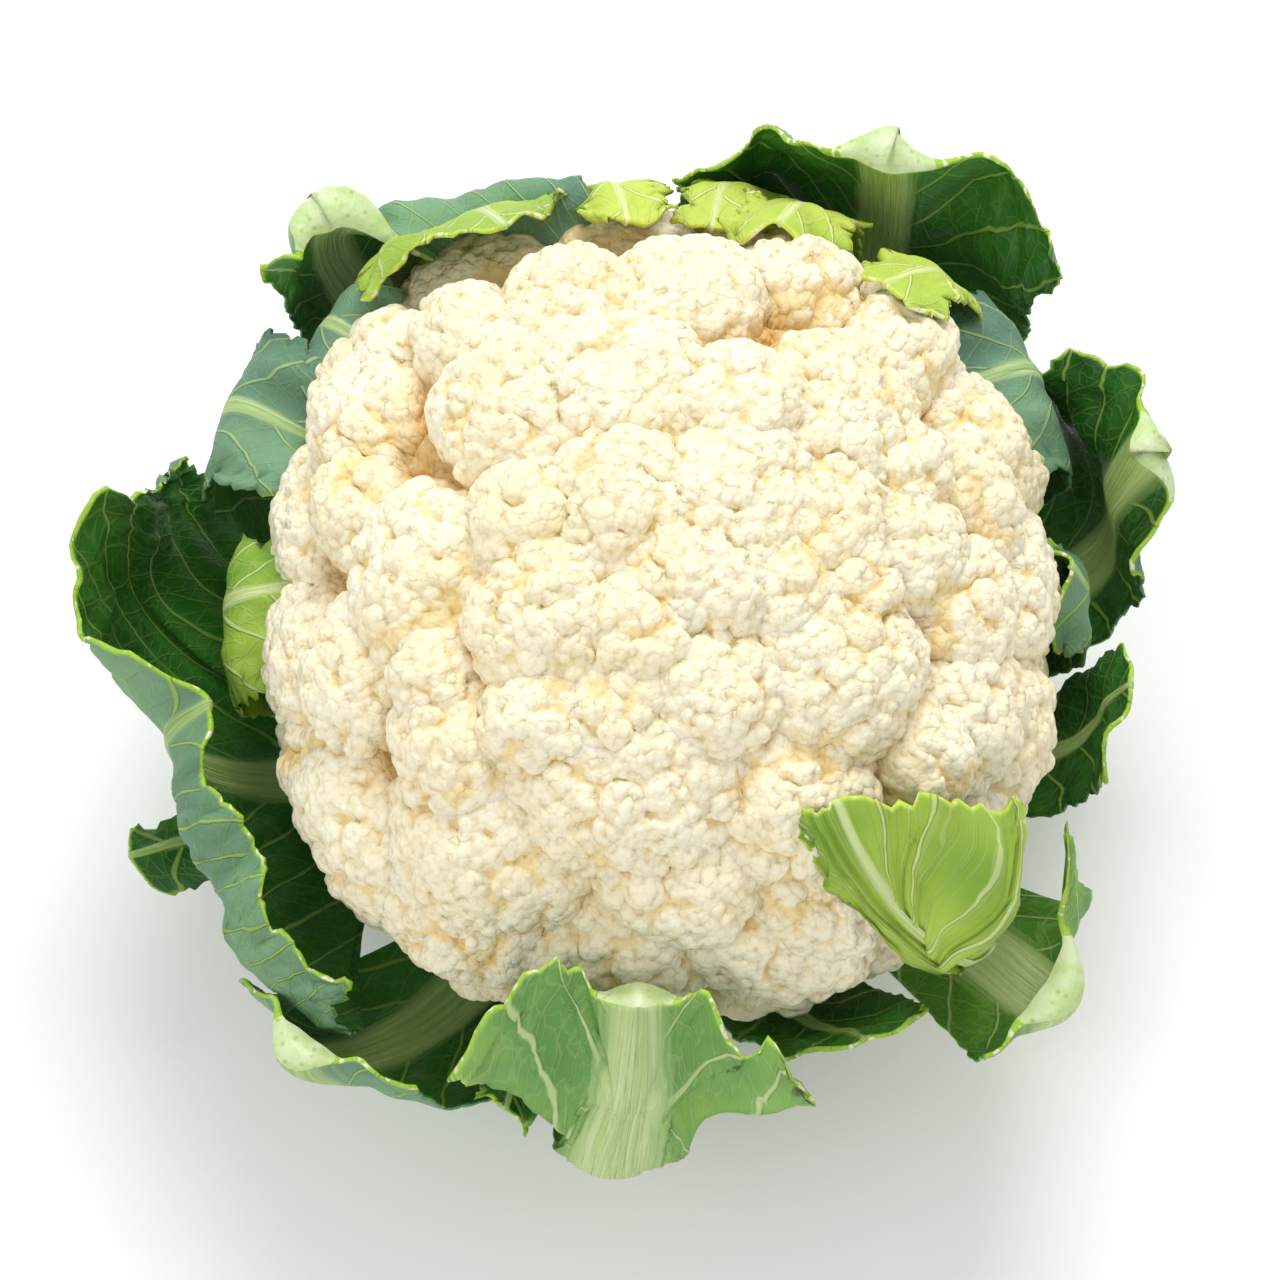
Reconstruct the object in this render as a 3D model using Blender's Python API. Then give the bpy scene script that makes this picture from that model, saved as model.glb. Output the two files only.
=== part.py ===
"""A trimmed cauliflower head: one curd on a cut stalk, inside its ring of cut-back leaves.

Metres, +Z up.  The origin is the centre of the stalk's flat cut face, on which the head
rests.  +Y is the back of the head, +X its right side.
"""
import math
from collections import namedtuple

import bmesh
import bpy
from mathutils import Vector

# ---------------------------------------------------------------- driving dimensions
CURD_WIDTH = 0.166          # across the curd, along X
CURD_DEPTH = 0.182          # across the curd, along Y
CURD_SQUARENESS = 2.5       # outline from above: 2 is an ellipse, more is squarer
CURD_RISE = 0.069           # widest level of the curd up to its crown
CURD_UNDERSIDE = 0.030      # widest level of the curd down to its flat neck
CURD_UNDER_SAG = 0.004      # how much further the rounded underside would reach with no neck
FLORET_RELIEF = 0.17        # depth of the furrows between florets, as a share of the radius
NECK_START, NECK_BLEND = -0.35, 0.3     # where the florets fade into the smooth neck

STALK_RADIUS = 0.024
STALK_HEIGHT = 0.042        # cut face up to the curd's neck
STALK_BEVEL = 0.0015

FIT_GAP = 0.0003            # between pieces that touch in life
FLOOR_CLEARANCE = 0.0030    # lowest leaf base above the cut face

BLADE_THICKNESS = 0.0016    # leaf blade beside its rib
EDGE_THICKNESS = 0.0010     # leaf blade at its margin
MARGIN_WAVE = 0.0012        # in-and-out waviness of a leaf's margin

BELLY_LATITUDE = math.radians(-28)      # level of a leaf's belly below the widest level
FOOT_BLEND = math.radians(40)           # how far below the belly the foot's stand-off is reached
EDGE_LATITUDE = math.radians(36)        # level where the edge's stand-off is reached
EDGE_EASE = 0.8                         # how early a leaf turns towards its edge's stand-off
OUTLINE_POWER = 1.5                     # how late the top falls away from the rib to the sides
SWING_START = 0.35                      # share of the length where the rib starts to swing
FLARE_START = 0.375                     # share of the length where the top corners start to flare
WAVE_START, WAVE_BLEND = 0.30, 0.50     # where along a leaf its margin starts to wave
WAVES_ALONG, WAVES_ACROSS = 7.0, 9.0    # radians of margin wave along a leaf and across it
FOOT_SHARE = 0.52                       # half-width of a foot, as a share of the rib's width
RIB_SHARE = 0.36                        # half-width of the rib's bulge, as a share of its width
RIB_FOOT_WIDTH, RIB_TAPER = 1.15, 0.45  # rib's width at the foot, and what it loses to the edge
RIB_FOOT_DEPTH, RIB_SWELL = 0.75, 0.25  # rib's depth at its foot, and what it gains at the belly
RIB_SWELL_PITCH = 1.3                   # how early along the leaf the rib is deepest

CURD_DETAIL = 5             # icosphere subdivisions of the curd
BLADE_CELLS = 10            # cells across a leaf
LENGTH_CELLS = 9            # cells along a leaf
CELL_CROWDING = 1.25        # above 1 puts more of the cells across a leaf near its rib
SHARP_ANGLE = math.radians(40)

# ---------------------------------------------------------------- what follows from them
EQUATOR = STALK_HEIGHT + FIT_GAP + CURD_UNDERSIDE
UNDER_SEMI = CURD_UNDERSIDE + CURD_UNDER_SAG
MM = 0.001

# One leaf.  Angles are degrees round the head from +X, or latitudes above its widest level.
#   foot, tip      azimuth where the rib leaves the stalk, and where it ends
#   low, high      blade half-widths at its widest, towards lower and higher azimuth (mm)
#   tops           latitudes of the trimmed edge: low side, rib, high side
#   stand_off      distance outside the curd at the foot, belly, widest level and edge (mm)
#   flare          extra distance outside the curd at the low and high top corners (mm)
#   rib            rib width and thickness at the belly (mm)
#   tint           name of the leaf's colour
#   widen          where the blade starts and ends widening, as shares of the leaf's length
Leaf = namedtuple("Leaf", "name foot tip low high tops stand_off flare rib tint widen",
                  defaults=((0.18, 0.80),))
LEAVES = (
    Leaf("outer_leaf_back_right", 63, 62, 36, 46, (14, 24, 22),
         (27, 22, 11, 11), (5, -3), (24, 8), "dark"),
    Leaf("outer_leaf_right", 12, 16, 18, 32, (3, 12, 15), (24, 25, 16, 34), (0, -8), (22, 7), "dark"),
    Leaf("outer_leaf_left", 197, 195, 68, 72, (12, 8, -3), (22, 25, 26, 24), (-2, -9), (24, 7), "dark"),
    Leaf("outer_leaf_back_left", 127, 131, 54, 16, (30, 14, 16),
         (21, 21, 14, 17), (-6, 0), (22, 7), "blue"),
    Leaf("outer_leaf_front", 264, 267, 36, 34, (8, 20, 8),
         (24, 31, 14, 8), (2, 2), (22, 8), "mid", (0.78, 1.02)),
    Leaf("outer_leaf_front_left", 238, 232, 20, 25, (-8, -6, -2),
         (33.5, 30, 24, 23), (0, -5), (20, 6), "dark", (0.08, 0.60)),
    Leaf("outer_leaf_front_right", 318, 314, 17, 20, (-10, -7, 12),
         (27, 27, 20, 22), (0, -8), (24, 6), "mid"),
    Leaf("outer_leaf_left_low", 200, 202, 6, 7, (-18, -16, -24),
         (36, 36, 28, 28), (0, 0), (10, 4), "dark"),
    Leaf("folded_leaf_front_right", 317, 298, 9, 42, (40, 43, 18),
         (9, 8, 5, 3), (0, 4), (12, 5), "pale", (0.84, 1.02)),
    Leaf("narrow_leaf_front", 248, 252, 5, 5, (-24, -22, -24),
         (17, 17, 15, 15), (0, 0), (9, 3), "dark"),
    Leaf("leaf_front", 286, 293, 18, 16, (-6, 2, -4), (8, 7, 6, 8), (0, 0), (12, 3), "dark"),
    Leaf("leaf_right_low", 343, 349, 16, 13, (-4, 4, -2), (16, 15, 11, 12), (0, 0), (12, 3), "dark"),
    Leaf("crumpled_leaf_right", 3, 3, 13, 12, (0, 10, 4), (9, 8, 7, 12), (0, 0), (10, 3), "dark"),
    Leaf("folded_leaf_right", 32, 33, 22, 20, (20, 32, 32), (11, 9, 6, 8), (0, 0), (14, 4), "blue"),
    Leaf("folded_leaf_left", 155, 153, 18, 18, (18, 19, 12), (15, 14, 13, 19), (0, 0), (14, 4), "blue"),
    Leaf("curled_leaf_left", 138, 139, 15, 17, (30, 28, 24), (6.5, 6, 5, 9), (1, 1), (12, 3), "blue"),
    Leaf("inner_leaf_back_left", 110, 116, 19, 30, (26, 39, 27),
         (13, 11, 5, 2.5), (0, 0), (12, 3), "pale", (0.45, 0.85)),
    Leaf("inner_leaf_back", 101, 96, 10, 8, (32, 34, 32), (6.5, 5.5, 4, 5), (0, 0), (9, 3), "yellow"),
    Leaf("inner_leaf_back_middle", 78, 82, 12, 8, (31, 32, 31),
         (9, 8, 6, 4.5), (0, 0), (9, 3), "yellow"),
    Leaf("small_leaf_back_right", 70, 70, 12, 11, (42, 42, 42),
         (4.5, 4, 2, 2), (0, 0), (9, 2.5), "yellow"),
    Leaf("small_leaf_right", 47, 49, 12, 9, (44, 42, 40), (4, 3.5, 2, 2), (0, 0), (8, 3), "yellow"),
    Leaf("inner_leaf_left", 179, 179, 16, 20, (12, 16, 8), (10, 10, 9, 12), (0, 0), (12, 4), "pale"),
)

TINTS = {
    "dark": (0.035, 0.150, 0.020, 1.0),
    "blue": (0.120, 0.250, 0.150, 1.0),
    "mid": (0.160, 0.330, 0.060, 1.0),
    "pale": (0.330, 0.480, 0.090, 1.0),
    "yellow": (0.500, 0.620, 0.080, 1.0),
}

# The florets that can be told apart on top of the curd: azimuth, latitude and radius, all
# in degrees as seen from the curd's centre.
CROWN_FLORETS = (
    (111, 50, 9), (84, 51, 12), (63, 42, 9), (133, 45, 8), (154, 29, 13), (141, 29, 8),
    (146, 61, 13), (110, 72, 14), (51, 73, 10), (30, 58, 14), (8, 30, 11), (172, 33, 10),
    (194, 47, 15), (193, 68, 9), (203, 83, 12), (350, 80, 14), (290, 75, 10), (351, 63, 10),
    (353, 47, 10), (226, 65, 12), (265, 68, 9), (319, 67, 8), (317, 53, 14), (282, 59, 10),
    (346, 34, 12), (331, 26, 12), (204, 28, 11), (216, 45, 8), (228, 40, 10), (242, 52, 8),
    (258, 57, 7), (264, 45, 17), (206, 4, 9), (223, 7, 14), (241, 25, 15), (273, 27, 12),
    (293, 38, 12), (295, 18, 12), (283, 12, 11), (319, 31, 9), (12, 49, 9), (41, 37, 9),
    (120, 59, 8), (335, 57, 8), (356, 18, 12), (22, 24, 13),
)
SKIRT_RINGS = ((8, 15, 15), (-14, 17, 14), (-32, 15, 13))   # latitude, count, radius


# ---------------------------------------------------------------- the shape of the head
def half_width(azimuth):
    """Horizontal radius of the curd's envelope in one direction (radians)."""
    across = abs(math.cos(azimuth) / (CURD_WIDTH / 2)) ** CURD_SQUARENESS
    deep = abs(math.sin(azimuth) / (CURD_DEPTH / 2)) ** CURD_SQUARENESS
    return (across + deep) ** (-1.0 / CURD_SQUARENESS)


def deepest_stand_off():
    """How far out the outermost leaf's outer face lies, foot or belly (metres)."""
    return max(max(leaf.stand_off[:2]) + leaf.rib[1] for leaf in LEAVES) * MM


FOOT_PITCH = (EQUATOR - UNDER_SEMI - FLOOR_CLEARANCE) / deepest_stand_off()


def bowl_point(azimuth, latitude, stand_off):
    """Point at one direction (radians) and distance outside the curd's envelope."""
    reach = (half_width(azimuth) + stand_off) * math.cos(latitude)
    if latitude > 0:
        height = (CURD_RISE + stand_off) * math.sin(latitude)
    else:
        height = (UNDER_SEMI + stand_off * FOOT_PITCH) * math.sin(latitude)
    return Vector((reach * math.cos(azimuth), reach * math.sin(azimuth), EQUATOR + height))


def smooth(value):
    value = min(1.0, max(0.0, value))
    return value * value * (3.0 - 2.0 * value)


# ---------------------------------------------------------------- building meshes
def add_object(name, bm, colour, roughness):
    """Turn a bmesh into a named, smooth-shaded object with its own material."""
    bmesh.ops.recalc_face_normals(bm, faces=bm.faces)
    mesh = bpy.data.meshes.new(name)
    bm.to_mesh(mesh)
    bm.free()
    mesh.shade_smooth()
    mesh.set_sharp_from_angle(angle=SHARP_ANGLE)
    material = bpy.data.materials.new(name + "_material")
    material.use_nodes = True
    shader = material.node_tree.nodes["Principled BSDF"]
    shader.inputs["Base Color"].default_value = colour
    shader.inputs["Roughness"].default_value = roughness
    shader.inputs["Metallic"].default_value = 0.0
    mesh.materials.append(material)
    thing = bpy.data.objects.new(name, mesh)
    bpy.context.scene.collection.objects.link(thing)
    return thing


# ---------------------------------------------------------------- stalk
def build_stalk():
    """The cut stump: a short cylinder with a flat cut face at z = 0."""
    bm = bmesh.new()
    bmesh.ops.create_cone(bm, cap_ends=True, segments=36, radius1=STALK_RADIUS,
                          radius2=STALK_RADIUS, depth=STALK_HEIGHT)
    bmesh.ops.translate(bm, verts=bm.verts, vec=(0, 0, STALK_HEIGHT / 2))
    rim = [edge for edge in bm.edges if all(vert.co.z < FIT_GAP for vert in edge.verts)]
    bmesh.ops.bevel(bm, geom=rim, offset=STALK_BEVEL, segments=2, affect="EDGES")
    return add_object("stalk", bm, (0.72, 0.74, 0.48, 1.0), 0.55)


# ---------------------------------------------------------------- curd
def direction(azimuth, latitude):
    return Vector((math.cos(azimuth) * math.cos(latitude),
                   math.sin(azimuth) * math.cos(latitude), math.sin(latitude)))


def florets():
    """Unit centre and angular radius of every floret, crown first and skirt rings after."""
    found = [(direction(math.radians(az), math.radians(lat)), math.radians(radius))
             for az, lat, radius in CROWN_FLORETS]
    for latitude, count, radius in SKIRT_RINGS:
        for index in range(count):
            azimuth = math.tau * (index + 0.5 * (latitude < 0)) / count
            found.append((direction(azimuth, math.radians(latitude)), math.radians(radius)))
    return found


def build_curd():
    """One closed body: a dome of florets above, a smooth neck below."""
    bm = bmesh.new()
    bmesh.ops.create_icosphere(bm, subdivisions=CURD_DETAIL, radius=1.0)
    domes = florets()
    for vert in bm.verts:
        facing = vert.co.normalized()
        swell = 0.0
        for centre, radius in domes:
            away = facing.angle(centre) / radius
            if away < 1.0:
                swell = max(swell, math.sqrt(1.0 - away * away))
        swell = max(swell, smooth((NECK_START - facing.z) / NECK_BLEND))
        scale = 1.0 - FLORET_RELIEF * (1.0 - swell)
        rise = CURD_RISE if facing.z > 0 else UNDER_SEMI
        height = max(facing.z * rise * scale, -CURD_UNDERSIDE)
        azimuth = math.atan2(facing.y, facing.x)
        reach = half_width(azimuth) * math.hypot(facing.x, facing.y) * scale
        vert.co = (reach * math.cos(azimuth), reach * math.sin(azimuth), EQUATOR + height)
    return add_object("curd", bm, (0.86, 0.80, 0.62, 1.0), 0.6)


# ---------------------------------------------------------------- leaves
def stand_off_at(values, latitude):
    """Read foot, belly, widest-level and edge stand-offs along a leaf by its latitude."""
    foot, belly, widest, edge = values
    if latitude < BELLY_LATITUDE:
        return belly + (foot - belly) * smooth((BELLY_LATITUDE - latitude) / FOOT_BLEND)
    if latitude < 0:
        return widest + (belly - widest) * smooth(latitude / BELLY_LATITUDE)
    return widest + (edge - widest) * smooth(latitude / EDGE_LATITUDE) ** EDGE_EASE


def leaf_section(leaf, across, along):
    """Azimuth, latitude, stand-off and thickness at one place on a leaf.

    across runs from -1 (low side) to 1 (high side), along from 0 (foot) to 1 (edge).
    """
    low_top, rib_top, high_top = leaf.tops
    side_top = high_top if across > 0 else low_top
    top = math.radians(rib_top + (side_top - rib_top) * abs(across) ** OUTLINE_POWER)
    swing = smooth((along - SWING_START) / (1.0 - SWING_START))
    mid_azimuth = math.radians(leaf.foot + (leaf.tip - leaf.foot) * swing)
    foot_reach = half_width(mid_azimuth) + leaf.stand_off[0] * MM
    foot = -math.acos((STALK_RADIUS + FIT_GAP) / foot_reach)
    latitude = foot + (top - foot) * along

    rib_width, rib_thickness = leaf.rib
    widest = (leaf.high if across > 0 else leaf.low) * MM
    foot_half = rib_width * FOOT_SHARE * MM
    start, end = leaf.widen
    half = foot_half + (widest - foot_half) * smooth((along - start) / (end - start))
    reach = (half_width(mid_azimuth) + leaf.stand_off[2] * MM) * math.cos(latitude)
    azimuth = mid_azimuth + across * half / max(reach, STALK_RADIUS)

    corner = leaf.flare[1] if across > 0 else leaf.flare[0]
    stand_off = stand_off_at(leaf.stand_off, latitude)
    flared = smooth((along - FLARE_START) / (1.0 - FLARE_START))
    stand_off += corner * abs(across) ** OUTLINE_POWER * flared
    ripple = math.sin(WAVES_ALONG * along + WAVES_ACROSS * across + leaf.foot)
    waved = smooth((along - WAVE_START) / WAVE_BLEND)
    stand_off = stand_off * MM + MARGIN_WAVE * ripple * across ** 2 * waved

    rib_half = RIB_SHARE * rib_width * MM * (RIB_FOOT_WIDTH - RIB_TAPER * along)
    bulge = math.exp(-(across * half / rib_half) ** 2)
    blade = BLADE_THICKNESS + (EDGE_THICKNESS - BLADE_THICKNESS) * abs(across)
    swelling = math.sin(math.pi * min(1.0, along * RIB_SWELL_PITCH))
    rib_now = rib_thickness * MM * (RIB_FOOT_DEPTH + RIB_SWELL * swelling)
    return azimuth, latitude, stand_off, blade + (rib_now - blade) * bulge


def build_leaf(leaf):
    """A closed shell: inner face, outer face with the rib standing out, and the margin."""
    bm = bmesh.new()
    layers = []
    for outer in (False, True):
        rows = []
        for row in range(LENGTH_CELLS + 1):
            along = row / LENGTH_CELLS
            verts = []
            for column in range(BLADE_CELLS + 1):
                step = 2.0 * column / BLADE_CELLS - 1.0
                across = math.copysign(abs(step) ** CELL_CROWDING, step)
                azimuth, latitude, stand_off, thickness = leaf_section(leaf, across, along)
                place = bowl_point(azimuth, latitude, stand_off + (thickness if outer else 0.0))
                if row == 0:
                    place = seat_on_stalk(place)
                verts.append(bm.verts.new(place))
            rows.append(verts)
        layers.append(rows)
    inner, outer = layers
    for rows in layers:
        for lower, upper in zip(rows, rows[1:]):
            for column in range(BLADE_CELLS):
                bm.faces.new((lower[column], lower[column + 1], upper[column + 1], upper[column]))
    for row_in, row_out in ((inner[0], outer[0]), (inner[-1], outer[-1])):
        for column in range(BLADE_CELLS):
            bm.faces.new((row_in[column], row_in[column + 1], row_out[column + 1], row_out[column]))
    for column in (0, BLADE_CELLS):
        for row in range(LENGTH_CELLS):
            bm.faces.new((inner[row][column], inner[row + 1][column],
                          outer[row + 1][column], outer[row][column]))
    bmesh.ops.triangulate(bm, faces=bm.faces)
    return add_object(leaf.name, bm, TINTS[leaf.tint], 0.5)


def seat_on_stalk(place):
    """Move a foot point straight out to the stalk's skin, with the fit gap."""
    reach = math.hypot(place.x, place.y)
    scale = (STALK_RADIUS + FIT_GAP) / reach
    return Vector((place.x * scale, place.y * scale, place.z))


# ---------------------------------------------------------------- the whole head
for old in list(bpy.data.objects):
    bpy.data.objects.remove(old)

build_stalk()
build_curd()
for one_leaf in LEAVES:
    build_leaf(one_leaf)
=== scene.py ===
"""Looks of the cauliflower head: a fine curd, crinkled leaves, a cut stalk, studio and camera.

Metres, +Z up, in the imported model's frame: z = 0 is the stalk's cut face, -Y the front.
"""
import math
from collections import namedtuple

import bmesh
import bpy
import numpy as np
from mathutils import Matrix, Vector, kdtree, noise


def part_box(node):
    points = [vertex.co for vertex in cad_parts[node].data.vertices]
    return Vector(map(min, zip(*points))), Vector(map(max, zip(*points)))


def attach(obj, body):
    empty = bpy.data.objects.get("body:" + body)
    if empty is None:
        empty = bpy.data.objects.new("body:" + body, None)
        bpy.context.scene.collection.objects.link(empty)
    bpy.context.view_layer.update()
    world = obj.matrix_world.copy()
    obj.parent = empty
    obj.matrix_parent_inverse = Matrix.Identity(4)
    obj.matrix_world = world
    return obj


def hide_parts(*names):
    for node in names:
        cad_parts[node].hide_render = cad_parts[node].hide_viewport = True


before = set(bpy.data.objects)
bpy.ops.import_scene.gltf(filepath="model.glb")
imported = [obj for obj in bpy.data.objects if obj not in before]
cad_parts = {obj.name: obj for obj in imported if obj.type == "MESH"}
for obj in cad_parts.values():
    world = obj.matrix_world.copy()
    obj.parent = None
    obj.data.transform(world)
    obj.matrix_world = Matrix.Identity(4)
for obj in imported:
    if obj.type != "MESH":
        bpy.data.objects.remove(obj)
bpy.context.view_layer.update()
MM = 0.001
LEAF_RUN = 0.085        # how far a leaf rises for each radian of latitude
RIB_BACK = 1.35         # how much wider a rib is behind the blade than in front of it
RIB_RAISE = 0.0012      # how far a rib stands out on the inner face

# ---------------------------------------------------------------- sizes read from the frame
CURD_LOW, CURD_HIGH = [Vector(corner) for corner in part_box("curd")]
STALK_LOW, STALK_HIGH = [Vector(corner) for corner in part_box("stalk")]
STALK_RADIUS = (STALK_HIGH.x - STALK_LOW.x) / 2
STALK_TOP = STALK_HIGH.z
FIT_GAP = 0.0003
CURD_WIDTH = 0.166
CURD_DEPTH = 0.182
CURD_SQUARENESS = 2.5
CURD_RISE = 0.069
CURD_UNDERSIDE = 0.030
UNDER_SEMI = CURD_UNDERSIDE + 0.004
EQUATOR = STALK_TOP + FIT_GAP + CURD_UNDERSIDE
FLOOR_CLEARANCE = 0.0030

# ---------------------------------------------------------------- the leaves
# The model's own leaf table, where each value is explained: azimuths in degrees, half-widths of
# the low and high side in mm, latitudes of the top, stand-offs, flare and rib in mm, and where
# the blade starts and ends widening.
Leaf = namedtuple("Leaf", "name foot tip low high tops stand_off flare rib tint widen",
                  defaults=((0.18, 0.80),))
LEAVES = (
    Leaf("outer_leaf_back_right", 63, 62, 36, 46, (14, 24, 22),
         (27, 22, 11, 11), (5, -3), (24, 8), "dark"),
    Leaf("outer_leaf_right", 12, 16, 18, 32, (3, 12, 15), (24, 25, 16, 34), (0, -8), (22, 7), "dark"),
    Leaf("outer_leaf_left", 197, 195, 68, 72, (12, 8, -3), (22, 25, 26, 24), (-2, -9), (24, 7), "dark"),
    Leaf("outer_leaf_back_left", 127, 131, 54, 16, (30, 14, 16),
         (21, 21, 14, 17), (-6, 0), (22, 7), "blue"),
    Leaf("outer_leaf_front", 264, 267, 36, 34, (8, 20, 8),
         (24, 31, 14, 8), (2, 2), (22, 8), "mid", (0.78, 1.02)),
    Leaf("outer_leaf_front_left", 238, 232, 20, 25, (-8, -6, -2),
         (33.5, 30, 24, 23), (0, -5), (20, 6), "dark", (0.08, 0.60)),
    Leaf("outer_leaf_front_right", 318, 314, 17, 20, (-10, -7, 12),
         (27, 27, 20, 22), (0, -8), (24, 6), "mid"),
    Leaf("outer_leaf_left_low", 200, 202, 6, 7, (-18, -16, -24),
         (36, 36, 28, 28), (0, 0), (10, 4), "dark"),
    Leaf("folded_leaf_front_right", 317, 298, 9, 42, (40, 43, 18),
         (9, 8, 5, 3), (0, 4), (12, 5), "pale", (0.84, 1.02)),
    Leaf("narrow_leaf_front", 248, 252, 5, 5, (-24, -22, -24),
         (17, 17, 15, 15), (0, 0), (9, 3), "dark"),
    Leaf("leaf_front", 286, 293, 18, 16, (-6, 2, -4), (8, 7, 6, 8), (0, 0), (12, 3), "dark"),
    Leaf("leaf_right_low", 343, 349, 16, 13, (-4, 4, -2), (16, 15, 11, 12), (0, 0), (12, 3), "dark"),
    Leaf("crumpled_leaf_right", 3, 3, 13, 12, (0, 10, 4), (9, 8, 7, 12), (0, 0), (10, 3), "dark"),
    Leaf("folded_leaf_right", 32, 33, 22, 20, (20, 32, 32), (11, 9, 6, 8), (0, 0), (14, 4), "blue"),
    Leaf("folded_leaf_left", 155, 153, 18, 18, (18, 19, 12), (15, 14, 13, 19), (0, 0), (14, 4), "blue"),
    Leaf("curled_leaf_left", 138, 139, 15, 17, (30, 28, 24), (6.5, 6, 5, 9), (1, 1), (12, 3), "blue"),
    Leaf("inner_leaf_back_left", 110, 116, 19, 30, (26, 39, 27),
         (13, 11, 5, 2.5), (0, 0), (12, 3), "pale", (0.45, 0.85)),
    Leaf("inner_leaf_back", 101, 96, 10, 8, (32, 34, 32), (6.5, 5.5, 4, 5), (0, 0), (9, 3), "yellow"),
    Leaf("inner_leaf_back_middle", 78, 82, 12, 8, (31, 32, 31),
         (9, 8, 6, 4.5), (0, 0), (9, 3), "yellow"),
    Leaf("small_leaf_back_right", 70, 70, 12, 11, (42, 42, 42),
         (4.5, 4, 2, 2), (0, 0), (9, 2.5), "yellow"),
    Leaf("small_leaf_right", 47, 49, 12, 9, (44, 42, 40), (4, 3.5, 2, 2), (0, 0), (8, 3), "yellow"),
    Leaf("inner_leaf_left", 179, 179, 16, 20, (12, 16, 8), (10, 10, 9, 12), (0, 0), (12, 4), "pale"),
)

# How each leaf departs from the plain model. The lists run from the low edge to the high edge.
#   crest    lobes and points of the top outline: how far each place stands above it (mm)
#   lean     extra stand-off of the top margin (mm)
#   roll     how far the top rolls over (degrees, + inwards over the curd, - outwards)
#   bend     where the roll starts and ends along the leaf
#   ruffle   height of the margin's broad waves (mm)
#   tooth    depth of the margin's small teeth (mm)
#   cut_rib  True where the rib was cut off across and its pale end shows
#   fan      True where the veins spread from the foot like a fan
#   pleat    how far the blade puckers between its veins (mm)
Look = namedtuple("Look", "crest lean roll bend ruffle tooth cut_rib fan pleat",
                  defaults=((0, 0), (0, 0), (0, 0), (0.8, 0.95), 2.0, 0.8, False, False, 0.45))
LOOKS = {
    "outer_leaf_back_right": Look(crest=(-12, -8, -2, 2, 1, -4, -4, -3, 4, 10, 6, -9, -3, -8),
                                  lean=(2, 4, -1, 1, -6), roll=(-35, -30, -15, -12, -20),
                                  ruffle=2.8, tooth=1.0, cut_rib=True),
    "outer_leaf_right": Look(crest=(-9, -4, -3, -3, 4, -4, 2, -7, -12), lean=(0, -2, -2, -1, -3),
                             roll=(-10, -25, 0, -25, -20), bend=(0.7, 0.9), ruffle=3.0, tooth=1.0, cut_rib=True),
    "outer_leaf_left": Look(crest=(-28, -16, -4, 10, 0, -4, 2, 6, 0, -4, 4, 2, 6, 3, 2, 5),
                            lean=(0, 2, 8, 7, -5, -4, -3, 0, 0),
                            roll=(0, -20, -25, -10, 40, 35, 40, 30, 30), bend=(0.84, 0.97), ruffle=3.2,
                            tooth=1.3),
    "outer_leaf_back_left": Look(crest=(6, 9, 8, 12, 10, 12, -4, 3, -4), lean=(-6, -2, 5, 3, 0),
                                 roll=(85, 95, 90, 10, 0, 0, -30), bend=(0.84, 0.92),
                                 ruffle=1.8, cut_rib=True),
    "outer_leaf_front": Look(crest=(-6, 8, 13, 8, 2, -1, 1, 6, -4, 5, -8), roll=(-20, 0, 10, 0, -20),
                             ruffle=2.8, tooth=1.8, cut_rib=True),
    "outer_leaf_front_left": Look(crest=(-4, 0, 0, 6, -3), ruffle=1.8, cut_rib=True),
    "outer_leaf_front_right": Look(crest=(-3, 0, 0, -6, 8), ruffle=1.6, cut_rib=True),
    "outer_leaf_left_low": Look(crest=(0, 3, 0), roll=(-60, -60), ruffle=1.2),
    "folded_leaf_front_right": Look(crest=(-2, 5, 7, 1, 4, -1, 3, -1, 6), ruffle=3.2, tooth=2.4,
                                    fan=True, pleat=1.3),
    "narrow_leaf_front": Look(crest=(36, 36, 34), roll=(-20, -50), bend=(0.55, 0.95), ruffle=1.0),
    "leaf_front": Look(crest=(-2, 2, 0, 4, -6), roll=(-30, -30), ruffle=1.6),
    "leaf_right_low": Look(crest=(-8, 2, 0, -2, -4), roll=(-20, -30), ruffle=2.4),
    "crumpled_leaf_right": Look(crest=(0, 4, -2), roll=(60, 20, 60), ruffle=3.2),
    "folded_leaf_right": Look(crest=(2, 8, 7, 9, 2), roll=(50, 45, 45), bend=(0.72, 0.88), ruffle=2.2,
                              tooth=1.2),
    "folded_leaf_left": Look(crest=(0, 3, -2, 4, 0), lean=(5, 5), roll=(70, 95, 70), bend=(0.78, 0.9),
                             ruffle=2.6, tooth=1.5),
    "curled_leaf_left": Look(crest=(0, 2, -3, 2, 0), roll=(80, 70, 90), bend=(0.76, 0.9), ruffle=2.8,
                             tooth=1.2),
    "inner_leaf_back_left": Look(crest=(-4, 1, -3, 2, -5), ruffle=2.6, tooth=2.2),
    "inner_leaf_back": Look(crest=(-7, -2, 2, -4, -8), roll=(30, 20), ruffle=3.0, tooth=2.2),
    "inner_leaf_back_middle": Look(crest=(-7, -1, 0, 2, -6), roll=(30, 30), ruffle=3.0, tooth=2.2),
    "small_leaf_back_right": Look(crest=(-4, 2, -1, 1, -4), roll=(20, 0, 20), ruffle=3.0, tooth=2.2),
    "small_leaf_right": Look(crest=(-5, 2, 0, 1, -4), roll=(0, 10), ruffle=2.6, tooth=2.0),
    "inner_leaf_left": Look(crest=(-4, 2, -1, 2, -5), roll=(75, 60, 90), bend=(0.78, 0.9), ruffle=2.4,
                            tooth=1.6),
}

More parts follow.
